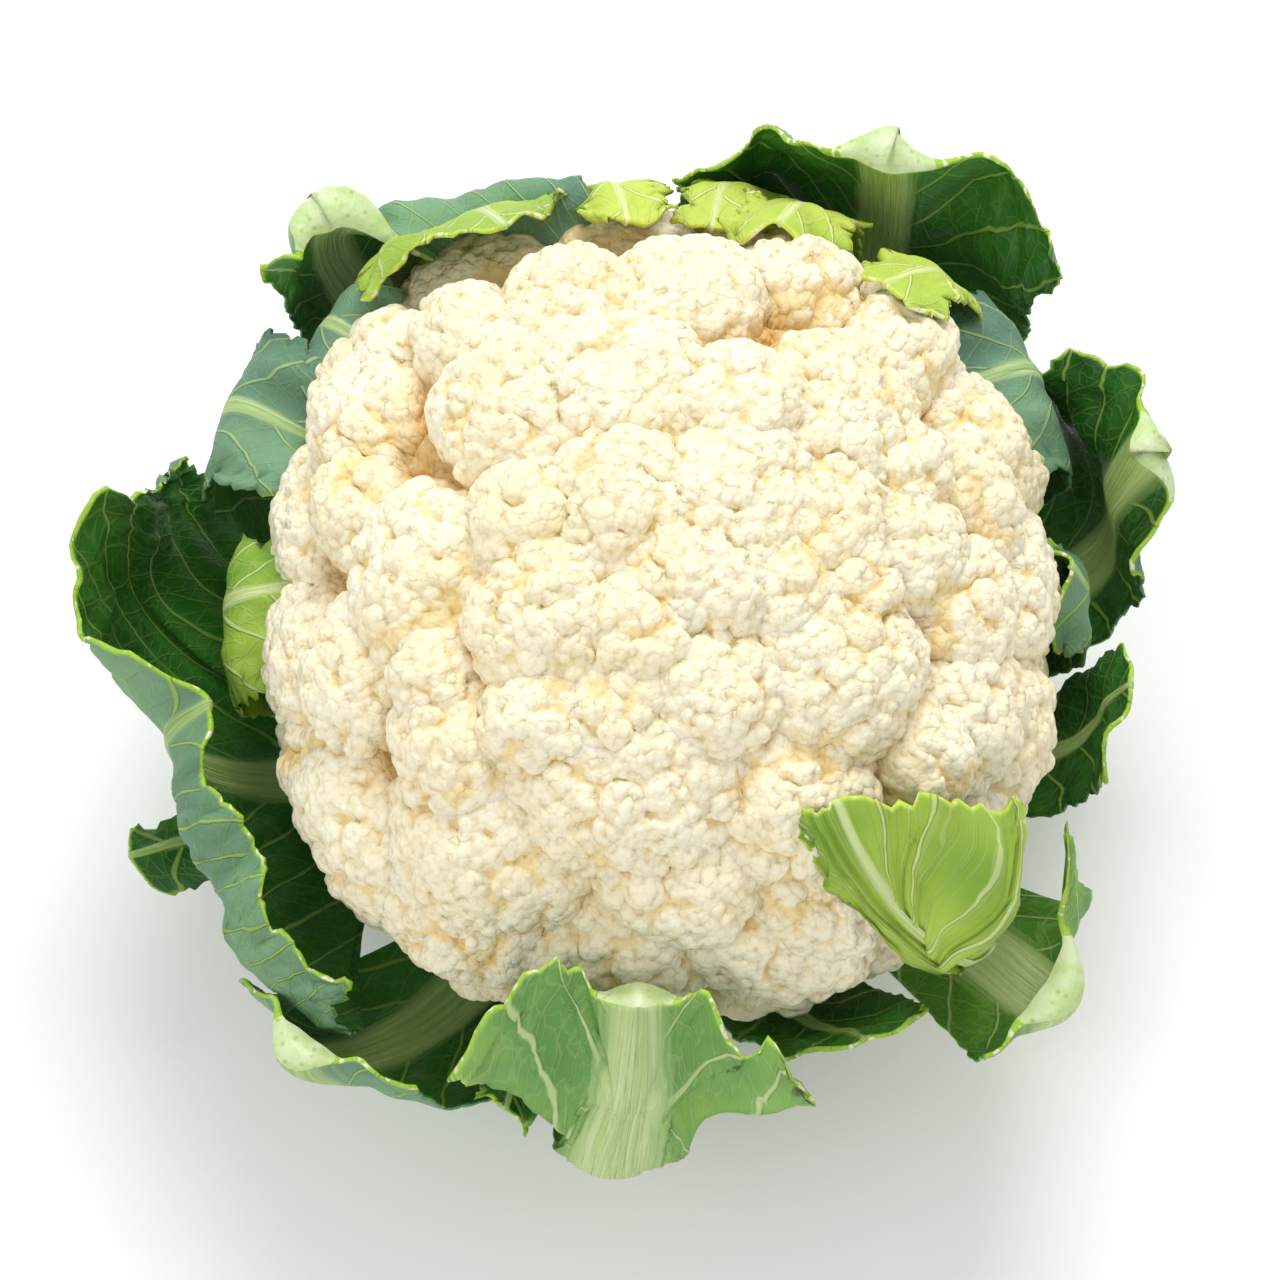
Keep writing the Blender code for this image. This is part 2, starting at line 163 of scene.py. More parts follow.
# Florets told apart on top of the curd: azimuth, latitude and radius seen from its centre.
CROWN_FLORETS = (
    (111, 50, 9), (84, 51, 12), (63, 42, 9), (133, 45, 8), (154, 29, 13), (141, 29, 8),
    (146, 61, 13), (110, 72, 14), (51, 73, 10), (30, 58, 14), (8, 30, 11), (172, 33, 10),
    (194, 47, 15), (193, 68, 9), (203, 83, 12), (350, 80, 14), (290, 75, 10), (351, 63, 10),
    (353, 47, 10), (226, 65, 12), (265, 68, 9), (319, 67, 8), (317, 53, 14), (282, 59, 10),
    (346, 34, 12), (331, 26, 12), (204, 28, 11), (216, 45, 8), (228, 40, 10), (242, 52, 8),
    (258, 57, 7), (264, 45, 17), (206, 4, 9), (223, 7, 14), (241, 25, 15), (273, 27, 12),
    (293, 38, 12), (295, 18, 12), (283, 12, 11), (319, 31, 9), (12, 49, 9), (41, 37, 9),
    (120, 59, 8), (335, 57, 8), (356, 18, 12), (22, 24, 13),
)
SKIRT_RINGS = ((8, 15, 15), (-14, 17, 14), (-32, 15, 13))   # latitude, count, radius
FLORET_RELIEF = 0.17

CURD_DETAIL = 8
LEAF_CELL = 0.0013


# ---------------------------------------------------------------- small maths
def smooth(value):
    value = np.clip(value, 0.0, 1.0)
    return value * value * (3.0 - 2.0 * value)


def wander(place, seed, octaves=3):
    """A smooth wandering value between about -1 and 1 along one number."""
    total = np.zeros_like(np.asarray(place, dtype=float))
    for octave in range(octaves):
        rate = 1.0 * 1.93 ** octave
        total += np.sin(rate * place + seed * (1.7 + octave) + octave * 2.1) / (1.5 ** octave)
    return total / 2.0


# ---------------------------------------------------------------- the shape of the head
def half_width(azimuth):
    across = np.abs(np.cos(azimuth) / (CURD_WIDTH / 2)) ** CURD_SQUARENESS
    deep = np.abs(np.sin(azimuth) / (CURD_DEPTH / 2)) ** CURD_SQUARENESS
    return (across + deep) ** (-1.0 / CURD_SQUARENESS)


DEEPEST = max(max(leaf.stand_off[:2]) + leaf.rib[1] for leaf in LEAVES) * MM
FOOT_PITCH = (EQUATOR - UNDER_SEMI - FLOOR_CLEARANCE) / DEEPEST


def bowl_point(azimuth, latitude, stand_off):
    reach = (half_width(azimuth) + stand_off) * np.cos(latitude)
    above = (CURD_RISE + stand_off) * np.sin(latitude)
    below = (UNDER_SEMI + stand_off * FOOT_PITCH) * np.sin(latitude)
    height = np.where(latitude > 0, above, below)
    return reach, EQUATOR + height


# ---------------------------------------------------------------- node materials
class Nodes:
    """Short-hand for building one material's node tree."""

    def __init__(self, name):
        self.material = bpy.data.materials.new(name)
        self.material.use_nodes = True
        self.tree = self.material.node_tree
        self.shader = self.tree.nodes["Principled BSDF"]

    def add(self, kind, **settings):
        node = self.tree.nodes.new(kind)
        for key, value in settings.items():
            setattr(node, key, value)
        return node

    def link(self, source, target):
        self.tree.links.new(source, target)

    def feed(self, socket, value):
        if isinstance(value, bpy.types.NodeSocket):
            self.link(value, socket)
        else:
            socket.default_value = value

    def math(self, operation, first, second=0.0, third=0.0, clamp=False):
        node = self.add("ShaderNodeMath", operation=operation, use_clamp=clamp)
        for socket, value in zip(node.inputs, (first, second, third)):
            self.feed(socket, value)
        return node.outputs[0]

    def attribute(self, name, output="Fac"):
        return self.add("ShaderNodeAttribute", attribute_name=name).outputs[output]

    def mix(self, share, first, second, blend="MIX"):
        node = self.add("ShaderNodeMix", data_type="RGBA", blend_type=blend)
        self.feed(node.inputs["Factor"], share)
        self.feed(node.inputs["A"], rgba(first))
        self.feed(node.inputs["B"], rgba(second))
        return node.outputs["Result"]

    def ramp(self, value, low, high):
        """0 below low, 1 above high, smooth between."""
        node = self.add("ShaderNodeMapRange", interpolation_type="SMOOTHSTEP")
        self.feed(node.inputs["Value"], value)
        node.inputs["From Min"].default_value = low
        node.inputs["From Max"].default_value = high
        return node.outputs[0]

    def noise(self, scale, detail=2.0, place=None, roughness=0.5):
        node = self.add("ShaderNodeTexNoise")
        node.inputs["Scale"].default_value = scale
        node.inputs["Detail"].default_value = detail
        node.inputs["Roughness"].default_value = roughness
        self.link(place or self.place(), node.inputs["Vector"])
        return node.outputs[0]

    def voronoi(self, scale, feature="F1", place=None, randomness=1.0):
        node = self.add("ShaderNodeTexVoronoi", feature=feature)
        node.inputs["Scale"].default_value = scale
        node.inputs["Randomness"].default_value = randomness
        self.link(place or self.place(), node.inputs["Vector"])
        return node.outputs["Distance"]

    def place(self):
        return self.add("ShaderNodeTexCoord").outputs["Object"]

    def bump(self, height, distance, strength=1.0, normal=None):
        node = self.add("ShaderNodeBump")
        node.inputs["Strength"].default_value = strength
        node.inputs["Distance"].default_value = distance
        self.link(height, node.inputs["Height"])
        if normal is not None:
            self.link(normal, node.inputs["Normal"])
        return node.outputs[0]


def rgba(colour):
    """An (r, g, b) of 0-255 screen values as linear RGBA; sockets pass through."""
    if isinstance(colour, bpy.types.NodeSocket):
        return colour
    linear = [(channel / 255.0) for channel in colour]
    linear = [c / 12.92 if c <= 0.04045 else ((c + 0.055) / 1.055) ** 2.4 for c in linear]
    return (*linear, 1.0)


def curd_material():
    """Cream flesh, grainy all over, cream on the crests, with painted shade in the creases: tan-yellow between
    the grains and small domes, partly the curd's own tone, and darkest tan in the furrows between florets.
    """
    n = Nodes("curd_flesh")
    floret = n.attribute("floret_crease")
    lump = n.attribute("lump_crease")
    nodule = n.attribute("nodule_crease")
    grain = n.voronoi(540.0)
    fine_grain = n.voronoi(980.0)
    blotch = n.ramp(n.noise(45.0, 3.0), 0.35, 0.7)
    colour = n.mix(blotch, (250, 242, 216), (246, 234, 198))
    # Painted shade: the creases between grains, beads, nodules and lumps are mixed towards tan-yellow, partly the
    # curd's own yellower tone and partly painted shade where shade falls.
    grain_crease = n.ramp(grain, 0.42, 0.85)
    colour = n.mix(n.math("MULTIPLY", grain_crease, 0.35), colour, (240, 219, 164))
    colour = n.mix(n.math("MULTIPLY", n.ramp(n.attribute("bead_crease"), 0.4, 1.0), 0.3), colour, (240, 219, 164))
    colour = n.mix(n.math("MULTIPLY", n.ramp(nodule, 0.45, 1.0), 0.6), colour, (242, 212, 134))
    colour = n.mix(n.math("MULTIPLY", n.ramp(lump, 0.5, 1.0), 0.55), colour, (236, 202, 120))
    # Painted shade: the furrows between florets are painted the darkest tan, standing in for the shade that falls
    # between them.
    colour = n.mix(n.math("MULTIPLY", n.ramp(floret, 0.38, 0.9), 0.8), colour, (214, 172, 92))
    n.link(colour, n.shader.inputs["Base Color"])
    dome = n.math("SQRT", n.math("SUBTRACT", 1.0, n.math("MULTIPLY", grain, grain), clamp=True))
    fine = n.math("SQRT", n.math("SUBTRACT", 1.0, n.math("MULTIPLY", fine_grain, fine_grain), clamp=True))
    relief = n.math("MULTIPLY_ADD", fine, 0.25, dome)
    n.link(n.bump(relief, 0.0011, 0.9), n.shader.inputs["Normal"])
    n.shader.inputs["Roughness"].default_value = 0.62
    n.shader.inputs["Specular IOR Level"].default_value = 0.3
    n.shader.inputs["Subsurface Weight"].default_value = 0.18
    n.shader.inputs["Subsurface Radius"].default_value = (0.9, 0.8, 0.45)
    n.shader.inputs["Subsurface Scale"].default_value = 0.002
    return n.material


Tint = namedtuple("Tint", "upper upper_light lower lower_light vein rib streak margin gloss")
TINTS = {
    "dark": Tint((20, 74, 14), (50, 118, 30), (92, 132, 104), (122, 162, 118),
                 (150, 186, 84), (184, 206, 142), (112, 152, 56), (158, 200, 62), 0.42),
    "blue": Tint((24, 84, 20), (60, 124, 36), (86, 124, 104), (122, 164, 124),
                 (160, 192, 130), (190, 210, 150), (126, 164, 84), (164, 204, 70), 0.5),
    "mid": Tint((54, 112, 24), (96, 150, 40), (92, 146, 70), (140, 184, 84),
                (196, 214, 150), (198, 214, 158), (150, 184, 84), (170, 208, 74), 0.5),
    "pale": Tint((88, 132, 22), (150, 180, 40), (122, 166, 50), (176, 204, 76),
                 (206, 222, 150), (208, 222, 160), (166, 196, 84), (196, 220, 80), 0.5),
    "yellow": Tint((128, 164, 26), (184, 204, 52), (170, 198, 70), (204, 220, 92),
                   (222, 232, 150), (220, 230, 160), (190, 210, 90), (206, 224, 84), 0.5),
}


def leaf_material(tint_name):
    """Leaf blade: green above, waxy blue-green below, pale veins, ribs and a bright margin."""
    tint = TINTS[tint_name]
    n = Nodes("leaf_" + tint_name)
    on_leaf = n.add("ShaderNodeAttribute", attribute_name="on_leaf").outputs["Vector"]
    split = n.add("ShaderNodeSeparateXYZ")
    n.link(on_leaf, split.inputs[0])
    across, along, side = split.outputs
    rib = n.attribute("rib_share")
    margin = n.attribute("margin")
    lower_side = n.ramp(side, 0.3, 0.7)

    # veins: side veins leave the rib at a slant and curve towards the edge
    sideways = n.math("ABSOLUTE", across)
    bend = n.math("MULTIPLY", n.math("SUBTRACT", n.noise(28.0, 2.0), 0.5), 1.6)
    other_side = n.math("MULTIPLY", n.math("GREATER_THAN", across, 0.0), 0.45)
    slanted = n.math("SUBTRACT", along, n.math("MULTIPLY", sideways, 1.5))
    slanted = n.math("SUBTRACT", slanted, n.math("MULTIPLY", n.math("POWER", sideways, 2.0), 0.10))
    phase = n.math("ADD", n.math("ADD", slanted, bend), other_side)
    main_vein = n.math("ABSOLUTE", n.math("SUBTRACT", n.math("FRACT", n.math("DIVIDE", phase, 1.7)), 0.5))
    crossing = n.math("ADD", n.math("MULTIPLY", sideways, 1.25), n.math("MULTIPLY", along, 0.55))
    crossing = n.math("ADD", crossing, n.math("MULTIPLY", bend, 1.3))
    side_vein = n.math("ABSOLUTE", n.math("SUBTRACT", n.math("FRACT", n.math("DIVIDE", crossing, 0.75)), 0.5))
    flat = n.add("ShaderNodeCombineXYZ")
    n.link(across, flat.inputs[0])
    n.link(along, flat.inputs[1])
    net = n.voronoi(3.4, "DISTANCE_TO_EDGE", flat.outputs[0])
    main_line = n.math("SUBTRACT", 1.0, n.ramp(main_vein, 0.02, 0.062))
    side_line = n.math("MULTIPLY", n.math("SUBTRACT", 1.0, n.ramp(side_vein, 0.015, 0.055)), 0.3)
    net_line = n.math("MULTIPLY", n.math("SUBTRACT", 1.0, n.ramp(net, 0.0, 0.09)), 0.18)
    veins = n.math("MAXIMUM", main_line, n.math("MAXIMUM", side_line, net_line))
    veins = n.math("MULTIPLY", veins, n.math("SUBTRACT", 1.0, n.ramp(rib, 0.1, 0.5)))

    patchy = n.ramp(n.noise(26.0, 4.0), 0.3, 0.72)
    upper = n.mix(patchy, tint.upper, tint.upper_light)
    lower = n.mix(patchy, tint.lower, tint.lower_light)
    colour = n.mix(lower_side, upper, lower)
    vein_share = n.math("MULTIPLY", veins, n.math("MULTIPLY_ADD", lower_side, 0.2, 0.55))
    colour = n.mix(vein_share, colour, tint.vein)
    rib_fibre = n.add("ShaderNodeTexNoise")
    rib_fibre.inputs["Scale"].default_value = 1.0
    rib_fibre.inputs["Detail"].default_value = 3.0
    stretched = n.add("ShaderNodeMapping")
    stretched.inputs["Scale"].default_value = (11.0, 0.35, 1.0)
    n.link(flat.outputs[0], stretched.inputs["Vector"])
    n.link(stretched.outputs[0], rib_fibre.inputs["Vector"])
    fibres = n.ramp(rib_fibre.outputs[0], 0.35, 0.65)
    rib_colour = n.mix(n.math("MULTIPLY_ADD", lower_side, 0.2, 0.65), tint.vein, tint.rib)
    rib_colour = n.mix(n.math("MULTIPLY", n.ramp(rib, 0.75, 1.0), 0.35), rib_colour, tint.vein)
    rib_colour = n.mix(n.math("MULTIPLY", fibres, 0.45), rib_colour, tint.streak)
    rib_edge = n.math("ADD", rib, n.math("MULTIPLY", n.math("SUBTRACT", fibres, 0.5), 0.22))
    colour = n.mix(n.ramp(rib_edge, 0.08, 0.72), colour, rib_colour)
    colour = n.mix(n.ramp(margin, 0.35, 0.95), colour, tint.margin)
    beads = n.math("MULTIPLY", n.ramp(margin, 0.7, 1.0), n.ramp(n.noise(420.0, 1.0), 0.56, 0.66))
    colour = n.mix(beads, colour, (236, 240, 196))
    n.link(colour, n.shader.inputs["Base Color"])

    crinkle = n.noise(150.0, 3.0)
    relief = n.math("ADD", n.math("MULTIPLY", veins, 0.8), n.math("MULTIPLY", crinkle, 0.55))
    relief = n.math("ADD", relief, n.math("MULTIPLY", n.math("MULTIPLY", fibres, rib), 0.6))
    n.link(n.bump(relief, 0.0009, 0.8), n.shader.inputs["Normal"])
    dull = n.math("MULTIPLY_ADD", lower_side, 0.16, tint.gloss)
    n.link(n.math("MULTIPLY_ADD", patchy, 0.08, dull), n.shader.inputs["Roughness"])
    n.shader.inputs["Specular IOR Level"].default_value = 0.4
    n.shader.inputs["Subsurface Weight"].default_value = 0.08
    n.shader.inputs["Subsurface Radius"].default_value = (0.5, 1.0, 0.2)
    n.shader.inputs["Subsurface Scale"].default_value = 0.0015
    return n.material


def cut_material():
    """Freshly cut rib end: pale watery flesh with a ring of fine dots."""
    n = Nodes("cut_flesh")
    dots = n.voronoi(420.0)
    spot = n.math("SUBTRACT", 1.0, n.ramp(dots, 0.12, 0.3))
    colour = n.mix(n.ramp(n.noise(220.0, 3.0), 0.35, 0.65), (214, 228, 182), (196, 218, 150))
    colour = n.mix(n.math("MULTIPLY", spot, 0.6), colour, (158, 190, 96))
    n.link(colour, n.shader.inputs["Base Color"])
    n.link(n.bump(n.noise(900.0, 2.0), 0.0004, 0.5), n.shader.inputs["Normal"])
    n.shader.inputs["Roughness"].default_value = 0.35
    n.shader.inputs["Subsurface Weight"].default_value = 0.3
    n.shader.inputs["Subsurface Radius"].default_value = (0.8, 1.0, 0.5)
    n.shader.inputs["Subsurface Scale"].default_value = 0.003
    return n.material


# ---------------------------------------------------------------- mesh helpers
def mesh_object(name, points, faces, materials, face_material=None):
    mesh = bpy.data.meshes.new(name)
    mesh.from_pydata(points.tolist(), [], faces.tolist())
    for material in materials:
        mesh.materials.append(material)
    if face_material is not None:
        mesh.polygons.foreach_set("material_index", face_material)
    mesh.shade_smooth()
    mesh.update()
    thing = bpy.data.objects.new(name, mesh)
    bpy.context.scene.collection.objects.link(thing)
    return thing


def point_attribute(thing, name, values):
    values = np.asarray(values, dtype=np.float32)
    kind = "FLOAT_VECTOR" if values.ndim == 2 else "FLOAT"
    layer = thing.data.attributes.new(name, kind, "POINT")
    layer.data.foreach_set("vector" if values.ndim == 2 else "value", values.ravel())


def point_normals(points, faces):
    edge_a = points[faces[:, 1]] - points[faces[:, 0]]
    edge_b = points[faces[:, 2]] - points[faces[:, 0]]
    weighted = np.cross(edge_a, edge_b)
    normals = np.empty_like(points)
    for axis in range(3):
        column = np.repeat(weighted[:, axis], 3)
        normals[:, axis] = np.bincount(faces.ravel(), column, minlength=len(points))
    return normals / np.maximum(np.linalg.norm(normals, axis=1, keepdims=True), 1e-12)


def relax(values, faces, rounds):
    """Average each point's value with its neighbours' a few times."""
    ends = np.concatenate((faces[:, [0, 1]], faces[:, [1, 2]], faces[:, [2, 0]]))
    count = np.bincount(ends[:, 0], minlength=len(values))
    count = np.maximum(count, 1)[:, None]
    for _ in range(rounds):
        total = np.stack([np.bincount(ends[:, 0], values[ends[:, 1], axis], minlength=len(values))
                          for axis in range(values.shape[1])], axis=1)
        values = (values + total / count) / 2
    return values


# ---------------------------------------------------------------- curd
def direction(azimuth, latitude):
    return np.array([math.cos(azimuth) * math.cos(latitude),
                     math.sin(azimuth) * math.cos(latitude), math.sin(latitude)])


def floret_domes():
    found = [(direction(math.radians(az), math.radians(lat)), math.radians(radius))
             for az, lat, radius in CROWN_FLORETS]
    for latitude, count, radius in SKIRT_RINGS:
        for index in range(count):
            azimuth = math.tau * (index + 0.5 * (latitude < 0)) / count
            found.append((direction(azimuth, math.radians(latitude)), math.radians(radius)))
    return found


def spread_sites(points, order, spacing):
    """Pick points at least one spacing apart, in the given order."""
    taken = {}
    chosen = []
    for index in order:
        x, y, z = points[index] / spacing
        cell = (math.floor(x), math.floor(y), math.floor(z))
        clear = True
        for i in (-1, 0, 1):
            for j in (-1, 0, 1):
                for k in (-1, 0, 1):
                    for other in taken.get((cell[0] + i, cell[1] + j, cell[2] + k), ()):
                        if (other[0] - x) ** 2 + (other[1] - y) ** 2 + (other[2] - z) ** 2 < 1.0:
                            clear = False
        if clear:
            taken.setdefault(cell, []).append((x, y, z))
            chosen.append(index)
    return chosen


def grow_domes(points, faces, rng, spacing, height, spread, mask):
    """Push rounded domes out of the surface; returns the new points and the creases."""
    candidates = rng.permutation(len(points))[:int(60 * 0.05 / spacing) * 400]
    sites = spread_sites(points, candidates, spacing)
    tree = kdtree.KDTree(len(points))
    for index, place in enumerate(points):
        tree.insert(place, index)
    tree.balance()
    swell = np.zeros(len(points))
    for site in sites:
        radius = spacing * (0.78 + spread * (rng.random() - 0.5))
        top = 0.75 + 0.5 * rng.random()
        for _, index, away in tree.find_range(points[site], radius):
            value = top * math.sqrt(max(0.0, 1.0 - (away / radius) ** 2))
            if value > swell[index]:
                swell[index] = value
    outward = relax(point_normals(points, faces), faces, 3)
    outward /= np.maximum(np.linalg.norm(outward, axis=1, keepdims=True), 1e-12)
    return points + outward * (swell * height * mask)[:, None], np.clip(1.0 - swell, 0.0, 1.0)


def build_curd():
    bm = bmesh.new()
    bmesh.ops.create_icosphere(bm, subdivisions=CURD_DETAIL, radius=1.0)
    mesh = bpy.data.meshes.new("ball")
    bm.to_mesh(mesh)
    bm.free()
    facing = np.empty(len(mesh.vertices) * 3)
    mesh.vertices.foreach_get("co", facing)
    facing = facing.reshape(-1, 3)
    faces = np.empty(len(mesh.polygons) * 3, dtype=np.int32)
    mesh.polygons.foreach_get("vertices", faces)
    faces = faces.reshape(-1, 3)
    bpy.data.meshes.remove(mesh)
    # a fixed order of points, so that the same places are drawn every time
    order = np.lexsort(facing.T)
    place = np.empty(len(order), dtype=np.int64)
    place[order] = np.arange(len(order))
    facing, faces = facing[order], place[faces]
    start = np.argmin(faces, axis=1)[:, None]
    faces = np.take_along_axis(faces, (start + np.arange(3)) % 3, axis=1)
    faces = faces[np.lexsort(faces.T)]

    # more points on the crown than underneath
    height = facing[:, 2] + 0.25 * (1.0 - facing[:, 2] ** 2)
    ring = np.sqrt(np.maximum(0.0, 1.0 - height ** 2))
    flat = np.maximum(np.hypot(facing[:, 0], facing[:, 1]), 1e-9)
    facing = np.column_stack((facing[:, 0] * ring / flat, facing[:, 1] * ring / flat, height))

    # irregular furrows: each point looks for florets from a slightly shifted direction
    shifted = facing + 0.035 * np.array([noise.noise_vector(Vector(p) * 6.0) for p in facing])
    shifted /= np.linalg.norm(shifted, axis=1, keepdims=True)
    swell = np.zeros(len(facing))
    for centre, radius in floret_domes():
        away = np.arccos(np.clip(shifted @ centre, -1.0, 1.0)) / radius
        swell = np.maximum(swell, np.sqrt(np.maximum(0.0, 1.0 - away ** 2)))
    neck = smooth((-0.35 - facing[:, 2]) / 0.3)
    swell = np.maximum(swell, neck)
    scale = (1.0 - FLORET_RELIEF * (1.0 - swell)) * 0.975
    rise = np.where(facing[:, 2] > 0, CURD_RISE, UNDER_SEMI)
    stems = 0.05 * neck * np.cos(11 * np.arctan2(facing[:, 1], facing[:, 0]))
    lowest = np.maximum(facing[:, 2] * rise * scale, -CURD_UNDERSIDE * (1 - stems))
    turn = np.arctan2(facing[:, 1], facing[:, 0])
    reach = half_width(turn) * np.hypot(facing[:, 0], facing[:, 1]) * scale
    points = np.column_stack((np.cos(turn) * reach, np.sin(turn) * reach, EQUATOR + lowest))
    furrow = np.clip(1.0 - swell, 0.0, 1.0)

    rng = np.random.default_rng(7)
    fleshy = 1.0 - 0.9 * neck
    points, lump = grow_domes(points, faces, rng, 0.0115, 0.0012, 0.35, fleshy)
    points, nodule = grow_domes(points, faces, rng, 0.0052, 0.0019, 0.4, fleshy)
    points, bead = grow_domes(points, faces, rng, 0.0027, 0.0010, 0.4, fleshy)
    curd = mesh_object("curd_head", points, faces, [curd_material()])
    point_attribute(curd, "floret_crease", furrow)
    point_attribute(curd, "lump_crease", lump)
    point_attribute(curd, "nodule_crease", nodule)
    point_attribute(curd, "bead_crease", bead)
    return curd


# ---------------------------------------------------------------- leaves
def along_values(values, latitude):
    """Foot, belly, widest-level and edge values, read by latitude."""
    foot, belly, equator, edge = values
    down = math.radians(-28)
    lowest = belly + (foot - belly) * smooth((down - latitude) / math.radians(40))
    middle = equator + (belly - equator) * smooth(latitude / down)
    upper = equator + (edge - equator) * smooth(latitude / math.radians(36)) ** 0.8
    return np.where(latitude < down, lowest, np.where(latitude < 0, middle, upper))


def across_values(values, across):
    """Evenly spaced values from the low edge (-1) to the high edge (1), joined smoothly."""
    values = np.asarray(values, dtype=float)
    place = (across + 1.0) / 2 * (len(values) - 1)
    index = np.clip(place.astype(int), 0, len(values) - 2)
    return values[index] + (values[index + 1] - values[index]) * smooth(place - index)


def leaf_sheet(leaf, look, seed):
    """The leaf's inner face as a grid of points, with what the material needs."""
    low_top, rib_top, high_top = leaf.tops
    length = math.radians(rib_top + 75) * LEAF_RUN
    rows = max(24, int(length / LEAF_CELL))
    columns = max(24, int((leaf.low + leaf.high) * MM / LEAF_CELL))
    steps = np.linspace(-1.0, 1.0, columns + 1)
    across, along = np.meshgrid(np.sign(steps) * np.abs(steps) ** 1.15, np.linspace(0.0, 1.0, rows + 1))
    high = across > 0
    side_top = np.where(high, high_top, low_top)
    near_tip = smooth((along - 0.45) / 0.55)
    rib_width, rib_thickness = leaf.rib
    widest = np.where(high, leaf.high, leaf.low) * MM
    top_off_rib = smooth((np.abs(across) * widest / MM - 0.25 * rib_width) / 8.0)

    mid_azimuth = np.radians(leaf.foot + (leaf.tip - leaf.foot) * smooth((along - 0.35) / 0.65))
    foot = -np.arccos((STALK_RADIUS + FIT_GAP) / (half_width(mid_azimuth) + leaf.stand_off[0] * MM))
    teeth = wander(across * widest / MM * 1.15, seed, 2) + 0.6 * wander(across * widest / MM * 0.45, seed + 3, 2)
    rise = (across_values(look.crest, across) + look.tooth * teeth) * top_off_rib
    top = np.radians(rib_top + (side_top - rib_top) * np.abs(across) ** 1.5) + rise * MM / LEAF_RUN
    latitude = foot + (top - foot) * along

    foot_half = rib_width * 0.52 * MM
    start, end = leaf.widen
    opened = smooth((along - start) / (end - start))
    half = foot_half + (widest - foot_half) * opened
    run = along * length / MM
    side_teeth = wander(run * 1.1 + 5.0 * high, seed + 7, 2) + 1.4 * wander(run * 0.3 + 4 * high, seed + 9, 2)
    half = half + look.tooth * MM * side_teeth * near_tip * opened * across ** 2
    reach = (half_width(mid_azimuth) + leaf.stand_off[2] * MM) * np.cos(latitude)
    spread = across * half
    azimuth = mid_azimuth + spread / np.maximum(reach, STALK_RADIUS)
    off_rib = smooth((np.abs(spread) / MM - 0.25 * rib_width) / 8.0)

    corner = np.where(high, leaf.flare[1], leaf.flare[0])
    stand_off = along_values(leaf.stand_off, latitude)
    upper = smooth(along * 1.6 - 0.6)
    stand_off = stand_off + corner * np.abs(across) ** 1.5 * upper + across_values(look.lean, across) * upper
    edge_share = np.maximum(across ** 2 * near_tip, smooth((along - 0.66) / 0.34) * off_rib)
    broad = wander(run * 0.11 + 2.0 * across, seed + 11, 2) + wander(spread / MM * 0.15 + along * 2, seed + 5, 2)
    frill = wander(run * 0.5 - spread / MM * 0.45, seed + 17, 2)
    stand_off = stand_off + look.ruffle * (broad * edge_share + 0.32 * frill * edge_share ** 2)
    dents = wander(spread / MM * 0.21 + run * 0.07, seed + 23, 2) * wander(run * 0.16, seed + 29, 2)
    stand_off = (stand_off + 1.1 * dents * off_rib * smooth(along * 2 - 0.6)) * MM

    reach, height = bowl_point(azimuth, latitude, stand_off)
    # the top rolls over: add a growing turn to each step up the leaf
    bend_start, bend_end = look.bend
    roll = np.radians(across_values(look.roll, across)) * smooth((along - bend_start) / (bend_end - bend_start))
    out, up = np.diff(reach, axis=0), np.diff(height, axis=0)
    turned = roll[1:]
    out, up = (out * np.cos(turned) - up * np.sin(turned), out * np.sin(turned) + up * np.cos(turned))
    reach = np.concatenate((reach[:1], reach[:1] + np.cumsum(out, axis=0)))
    height = np.concatenate((height[:1], height[:1] + np.cumsum(up, axis=0)))
    sheet = np.stack((reach * np.cos(azimuth), reach * np.sin(azimuth), height), axis=-1)

    taper = 1.0 - (0.35 if look.cut_rib else 0.85) * along
    rib_half = 0.34 * rib_width * MM * taper
    rib_share = np.exp(-np.abs(spread / rib_half) ** 3)
    bar_share = np.exp(-np.abs(spread / rib_half / RIB_BACK) ** 2.6)
    margin = np.minimum((1.0 - np.abs(across)) * half + 0.02 * (1 - near_tip), (1.0 - along) * length) / MM
    vein_across, vein_along = spread, run * MM
    if look.fan:
        vein_across, vein_along = 0.003 * across, 0.070 * np.abs(across) + 0.010 * along
    return dict(sheet=sheet, across=vein_across, along=vein_along, rib=rib_share, bar=bar_share,
                margin=margin, rib_thickness=rib_thickness * MM * taper, grid=(across, along))


